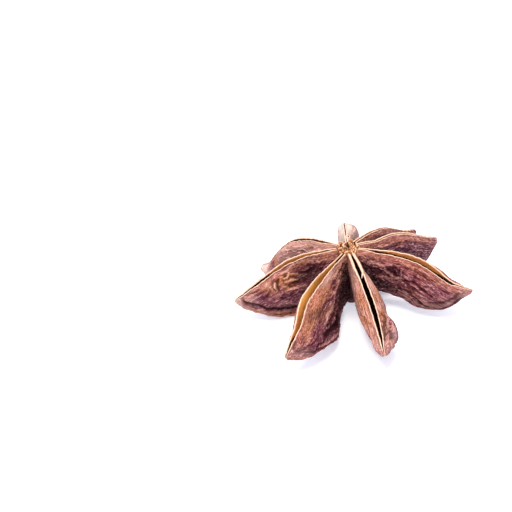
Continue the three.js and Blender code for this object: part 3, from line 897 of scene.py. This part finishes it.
def carpelPiece(name, shape, seed, material):
    # A section like a deep boat's, open at its top, is carried from the column to the beak. The
    # outer walls are then raised along their normals by the relief.
    shape = {**usualCarpel, **shape}
    along, t = carpelRows(shape)
    gape = 0.5 * between(shape["slit"], t)
    samples, place = sectionSamples()
    points, middle, cap = carpelGrid(shape, along, t, gape, samples, place, seed)
    spots = wallPlaces(points, along, t, samples, seed)
    tints = carpelTints(shape, spots, seed)
    height, shades = carpelRelief(shape, spots, tints["plain"], seed)
    outside = 1 - smooth(place, 9.4, 10.6)
    normals = surfaceNormals(points)
    if (normals * (points - middle)).sum(-1)[:, place < 6].mean() < 0:
        normals = -normals
    points = points + normals * (height * outside * smooth(spots["fromLip"], 0.05, 0.7) * cap)[..., None]
    points[..., 2] = np.maximum(points[..., 2], husk["lowest"])
    fields = {key: values * outside for key, values in {**tints, **shades}.items()}
    # painted highlight: the lips are whitened where light from behind glances off them
    fields["white"] = np.maximum(fields["white"], shape["backlitLipSheen"] * (place > 9.5) * (place < 13))
    fields.update(liningFields(shape, spots, place, gape))
    fields = {key: np.broadcast_to(values, height.shape) for key, values in fields.items()}
    tubePiece(name, points, fields, spots["grain"], material)


huskMaterial = driedHusk()
for seed, (name, shape) in enumerate(carpels.items(), 1):
    carpelPiece(name, shape, seed, huskMaterial)

column = {  # millimetres
    "profile": [
        (0, 0.9), (0.4, 0.88), (0.8, 0.85), (0.95, 1.2), (0.9, 1.9), (1.2, 2.6), (1.4, 4), (1.5, 6.5),
        (1.5, 8.3), (1.5, 8.8), (1.45, 9.1), (1.3, 9.3), (1.1, 9.35), (0.9, 9.25), (0.6, 9.0),
        (0.3, 8.9), (0, 8.85),
    ],
    "rows": 150,
    "columns": 240,
    "torn": (8.6, 9.1),  # between these heights it turns from bark to torn crown
    "crownShift": (0.15, 0.3),  # how far the crown lies right and back of the axis
    "crownStretch": 1.2,  # its length for its width
    "wander": 0.06,  # how uneven its outline is, as a share
    "tornWalls": 0.3,
    "grit": 0.1,
    # Pits in the crown: distance right and back from the axis, half width, half length, depth
    "pits": [
        (-0.78, 0.85, 0.2, 0.4, 0.9),
        (-0.3, 0.45, 0.24, 0.2, 0.9),
        (0.04, 1.75, 0.26, 0.22, 0.7),
        (0.11, 1.0, 0.2, 0.26, 0.4),
        (-0.83, -0.12, 0.12, 0.14, 0.6),
        (0.72, 1.25, 0.1, 0.12, 0.5),
        (1.05, 0.8, 0.09, 0.6, 0.35),
        (0.1, 0.05, 0.1, 0.14, 0.4),
        (0.4, -0.25, 0.1, 0.1, 0.35),
        (-0.36, -0.75, 0.12, 0.2, 0.4),
        (0.7, -0.5, 0.3, 0.1, 0.3),
    ],
    "patterns": {"blotch": (0.7, 0), "grain": (0.16, 9)},  # their sizes and shifts
    "bark": ("3a1d22", "5a3230"),
    "pith": ("74421f", "9c6238"),
    "crest": "dcb590",
    "pit": "2a100c",
    "roughness": 0.8,
    "gloss": 0.12,
    "bump": 0.00004,  # metres
}


def corkyCrown():
    # Torn woody pith where the carpels met: cream and tan crests with fibrous ends, brown pits
    material, tree = newMaterial("corkyCrown")
    mask = {
        name: addNode(tree, "ShaderNodeAttribute", {"attribute_name": name}).outputs[2]
        for name in ("pit", "crest", "crown")
    }
    grain = addNode(tree, "ShaderNodeAttribute", {"attribute_name": "grain"}).outputs[1]
    for key, (size, shift) in column["patterns"].items():
        place = addNode(tree, "ShaderNodeMapping", {
            "Location": (shift, shift, 0), "Scale": (1 / size, 1 / size, 1 / size)}, {"Vector": grain})
        noise = addNode(tree, "ShaderNodeTexNoise", {"Scale": 1.0, "Detail": 3}, {
            "Vector": place.outputs[0]})
        mask[key] = addNode(tree, "ShaderNodeMapRange", {
            "interpolation_type": "SMOOTHSTEP", 1: 0.35, 2: 0.65}, {0: noise.outputs[0]}).outputs[0]
    bark, pith = (
        addNode(tree, "ShaderNodeMix", {"data_type": "RGBA", 6: colour(low), 7: colour(high)}, {
            0: mask["blotch"]}).outputs[2]
        for low, high in (column["bark"], column["pith"]))
    tint = addNode(tree, "ShaderNodeMix", {"data_type": "RGBA"}, {
        0: mask["crown"], 6: bark, 7: pith}).outputs[2]
    for key in ("crest", "pit"):
        tint = addNode(tree, "ShaderNodeMix", {"data_type": "RGBA", 7: colour(column[key])}, {
            0: mask[key], 6: tint}).outputs[2]
    bump = addNode(tree, "ShaderNodeBump", {"Strength": 0.6, "Distance": column["bump"]}, {
        "Height": mask["grain"]})
    shader = addNode(tree, "ShaderNodeBsdfPrincipled", {
        "IOR": 1.5, "Roughness": column["roughness"], "Specular IOR Level": column["gloss"]}, {
        "Base Color": tint, "Normal": bump.outputs[0]})
    addNode(tree, "ShaderNodeOutputMaterial", {}, {"Surface": shader.outputs[0]})
    return material


def columnPiece():
    # A profile from the stalk's scar up to the dimple in the crown, turned about the axis; the crown
    # is torn: its height is uneven and pits are sunk into it
    profile = np.array(column["profile"], float)
    lengths = lengthsAlong(profile)
    at = lengths[-1] * np.linspace(0, 1, column["rows"]) ** 0.6  # closer together at the crown
    radius, height = (np.interp(at, lengths, values)[:, None] for values in profile.T)
    turn = np.linspace(0, 2 * np.pi, column["columns"], endpoint=False)
    z = np.tile(height, len(turn))
    top = smooth(z, *column["torn"])
    outline = np.stack([3 * np.cos(turn), 3 * np.sin(turn), 0 * turn], -1)
    spread = radius * (1 + column["wander"] * waves(outline, 91))
    shiftRight, shiftBack = column["crownShift"]
    x = spread * np.cos(turn) + shiftRight * top
    y = spread * np.sin(turn) * mix(1, column["crownStretch"], top) + shiftBack * top
    place = np.stack([x, y, z], -1)
    walls = creases(place / np.array([0.5, 0.6, 9]), 92)  # torn walls that stand between the holes
    rise = column["tornWalls"] * (walls - 0.4) + column["grit"] * waves(place / 0.22, 93)
    pit = np.zeros_like(x)
    for right, back, wide, long, deep in column["pits"]:
        reach = np.hypot((x - right) / wide, (y - back) / long) + 0.25 * waves(place / 0.2, 94)
        hole = 1 - smooth(reach, 0.7, 1.3)
        pit = np.maximum(pit, hole)
        z -= deep * hole * top
    z += rise * top
    pit = np.maximum(pit, 0.75 * smooth(-rise, 0.0, 0.08))
    crest = smooth(rise, 0.05, 0.17) * (1 - pit) * top
    axisX, axisY = husk["axis"]
    points = np.stack([x + axisX, y + axisY, z], -1)
    tubePiece("column", points, {"pit": pit * top, "crest": crest, "crown": top}, place, corkyCrown())


columnPiece()

# Torn strands: the curve's start, its two pulls and its end, right and back of the origin and up, and
# the strand's thickness, all in millimetres
strands = {
    "lipSplinter": ([(1.5, -4.75, 9.0), (1.42, -5.3, 9.3), (1.3, -5.6, 9.15), (1.2, -6.0, 8.85)], 0.26),
    "crownSpoke": ([(-0.55, 1.65, 9.1), (-0.2, 1.95, 9.5), (0.25, 2.2, 9.5), (0.5, 2.5, 9.2)], 0.2),
    "crownThread": ([(1.3, 0.9, 9.1), (1.5, 1.3, 9.55), (1.45, 1.8, 9.5), (1.2, 2.2, 9.1)], 0.14),
    "leftThread": ([(-1.2, 2.2, 9.1), (-0.9, 2.5, 9.55), (-0.5, 2.4, 9.5), (-0.3, 2.1, 9.1)], 0.13),
}
strandShape = {  # shares, where no count is meant
    "rings": 40,
    "sides": 16,
    "thinning": 0.7,  # towards its end
    "roundEnd": 0.08,
    "unevenness": 0.35,
    "flatness": 0.6,
}
stub = {  # the torn end of a vein behind the crown: where it stands and its profile, in millimetres
    "place": (0.39, 3.35),
    "profile": [(0, 8.6), (0.36, 8.7), (0.38, 9.2), (0.34, 9.42), (0.26, 9.46), (0.19, 9.3), (0, 9.15)],
    "rings": 60,
    "sides": 40,
    "unevenness": 0.2,
    # painted shade: the stub's hollow top is coloured dark between these points of the profile
    "holeFrom": (4.2, 4.8),  # it turns dark between these points of the profile
}


def strandPiece(name, stations, thickness, seed, material):
    # Rings carried along a curve, thinning towards its end, with an uneven outline
    t = np.linspace(0, 1, strandShape["rings"])
    path = bezier(stations, t)
    ahead = np.gradient(path, axis=0)
    ahead /= np.linalg.norm(ahead, axis=1, keepdims=True)
    aside = np.cross(ahead, (0.3, 0.2, 1))
    aside /= np.linalg.norm(aside, axis=1, keepdims=True)
    over = np.cross(aside, ahead)
    turn = np.linspace(0, 2 * np.pi, strandShape["sides"], endpoint=False)
    rounded = np.sqrt(np.clip(np.minimum(t, 1 - t) / strandShape["roundEnd"], 0, 1))
    radius = thickness / 2 * (1 - strandShape["thinning"] * t) * rounded
    place = np.stack(np.broadcast_arrays(4 * t[:, None], np.cos(turn) + seed, np.sin(turn)), -1)
    radius = (radius[:, None] * (1 + strandShape["unevenness"] * waves(place, seed)))[..., None]
    ring = aside[:, None] * np.cos(turn)[:, None]
    ring = ring + over[:, None] * np.sin(turn)[:, None] * strandShape["flatness"]
    points = path[:, None] + radius * ring
    tubePiece(name, points, {"lip": np.ones(points.shape[:2])}, points, material)


def veinStub(material):
    # A profile turned about an upright line: a short torn ring with a hole in it, coloured dark as
    # painted shade
    profile = np.array(stub["profile"])
    t = np.linspace(0, len(profile) - 1, stub["rings"])
    radius, height = (np.interp(t, range(len(profile)), values)[:, None] for values in profile.T)
    turn = np.linspace(0, 2 * np.pi, stub["sides"], endpoint=False)
    uneven = stub["unevenness"] * waves(np.stack([2 * np.cos(turn), 2 * np.sin(turn), 0 * turn], -1), 97)
    right, back = stub["place"]
    points = np.stack([
        right + radius * np.cos(turn) * (1 + uneven),
        back + radius * np.sin(turn) * (1 + uneven),
        height + 0.15 * uneven,
    ], -1)
    hole = np.broadcast_to(smooth(t, *stub["holeFrom"])[:, None], points.shape[:2])
    tubePiece("veinStub", points, {"lip": 1 - hole, "dark": hole, "tan": hole}, points, material)


for seed, (name, (stations, thickness)) in enumerate(strands.items(), 101):
    strandPiece(name, stations, thickness, seed, huskMaterial)
veinStub(huskMaterial)

studioLight = {
    "skyColour": "f0f4ff",
    "skyTop": 1.2,  # the white tent over the set: its strength overhead and at the horizon
    "skyEdge": 1.5,
    "keyPower": 0.95,  # watts
    "keyColour": "fff8f0",
    "keyPlace": (-0.02, -0.08, 0.26),
    "keySize": (0.12, 0.12),
    "boardReach": 3.0,
    "boardColour": "f4f5f8",
    "boardGlow": 0.3,  # how strongly the board lights itself
    "glowColour": "f2f5ff",
}


def whiteTent():  # a sky that is weakest overhead
    world = bpy.data.worlds.new("studio")
    world.use_nodes = True
    tree = world.node_tree
    tree.nodes.clear()
    ahead = addNode(tree, "ShaderNodeTexCoord").outputs["Generated"]
    height = addNode(tree, "ShaderNodeSeparateXYZ", {}, {0: ahead}).outputs[2]
    strength = addNode(tree, "ShaderNodeMapRange", {
        1: 0.0, 2: 1.0, 3: studioLight["skyEdge"], 4: studioLight["skyTop"]}, {0: height})
    sky = addNode(tree, "ShaderNodeBackground", {"Color": colour(studioLight["skyColour"])}, {
        "Strength": strength.outputs[0]})
    addNode(tree, "ShaderNodeOutputWorld", {}, {"Surface": sky.outputs[0]})
    bpy.context.scene.world = world


def board():  # matt opal acrylic lit softly from below: it shows only faint, cool shadows
    reach = studioLight["boardReach"]
    corners = [(-reach, -reach, 0), (reach, -reach, 0), (reach, reach, 0), (-reach, reach, 0)]
    mesh = bpy.data.meshes.new("floor")
    mesh.from_pydata(corners, [], [(0, 1, 2, 3)])
    material, tree = newMaterial("opalAcrylicBoard")
    shader = addNode(tree, "ShaderNodeBsdfPrincipled", {
        "Base Color": colour(studioLight["boardColour"]), "Roughness": 0.9,
        "Emission Color": colour(studioLight["glowColour"]),
        "Emission Strength": studioLight["boardGlow"]})
    addNode(tree, "ShaderNodeOutputMaterial", {}, {"Surface": shader.outputs[0]})
    mesh.materials.append(material)
    floor = bpy.data.objects.new("floor", mesh)
    bpy.context.scene.collection.objects.link(floor)


def softbox():  # one soft lamp high in front, turned to the fruit
    lamp = bpy.data.lights.new("softbox", "AREA")
    lamp.shape = "RECTANGLE"
    lamp.size, lamp.size_y = studioLight["keySize"]
    lamp.energy = studioLight["keyPower"]
    lamp.color = colour(studioLight["keyColour"])[:3]
    holder = bpy.data.objects.new("softbox", lamp)
    holder.location = studioLight["keyPlace"]
    holder.rotation_euler = (-holder.location).to_track_quat("-Z", "Y").to_euler()
    bpy.context.scene.collection.objects.link(holder)


view = {
    "elevation": 34,  # degrees: how steeply it looks down, and its turn about its line of sight
    "roll": -7,
    "distance": 0.25,  # metres from the crown
    "aside": -0.0122,  # metres: how far the line of sight is moved off the crown, right and up
    "over": -0.00113,
    "lens": 131.8,  # millimetres, with a sensor this wide
    "sensor": 36,
    "nearest": 0.01,  # metres: it sees nothing closer
}


def camera():  # looks down beside the crown, turned a little about its line of sight
    elevation, roll = math.radians(view["elevation"]), math.radians(view["roll"])
    ahead = np.array([0, math.cos(elevation), -math.sin(elevation)])
    level = np.array([1.0, 0, 0])
    over = np.array([0, math.sin(elevation), math.cos(elevation)])
    right = level * math.cos(roll) + over * math.sin(roll)
    up = -level * math.sin(roll) + over * math.cos(roll)
    crown = np.array([*husk["axis"], husk["crownHeight"]]) * millimetre
    place = crown - view["distance"] * ahead + view["aside"] * right + view["over"] * up
    data = bpy.data.cameras.new("camera")
    data.lens = view["lens"]
    data.sensor_width = view["sensor"]
    data.clip_start = view["nearest"]
    eye = bpy.data.objects.new("camera", data)
    bpy.context.scene.collection.objects.link(eye)
    turn = np.column_stack([right, up, -ahead, place])
    eye.matrix_world = Matrix([*turn.tolist(), (0, 0, 0, 1)])
    bpy.context.scene.camera = eye


whiteTent()
board()
softbox()
camera()
bpy.context.scene.view_settings.view_transform = "Standard"
print("set up the board, the light and the camera")
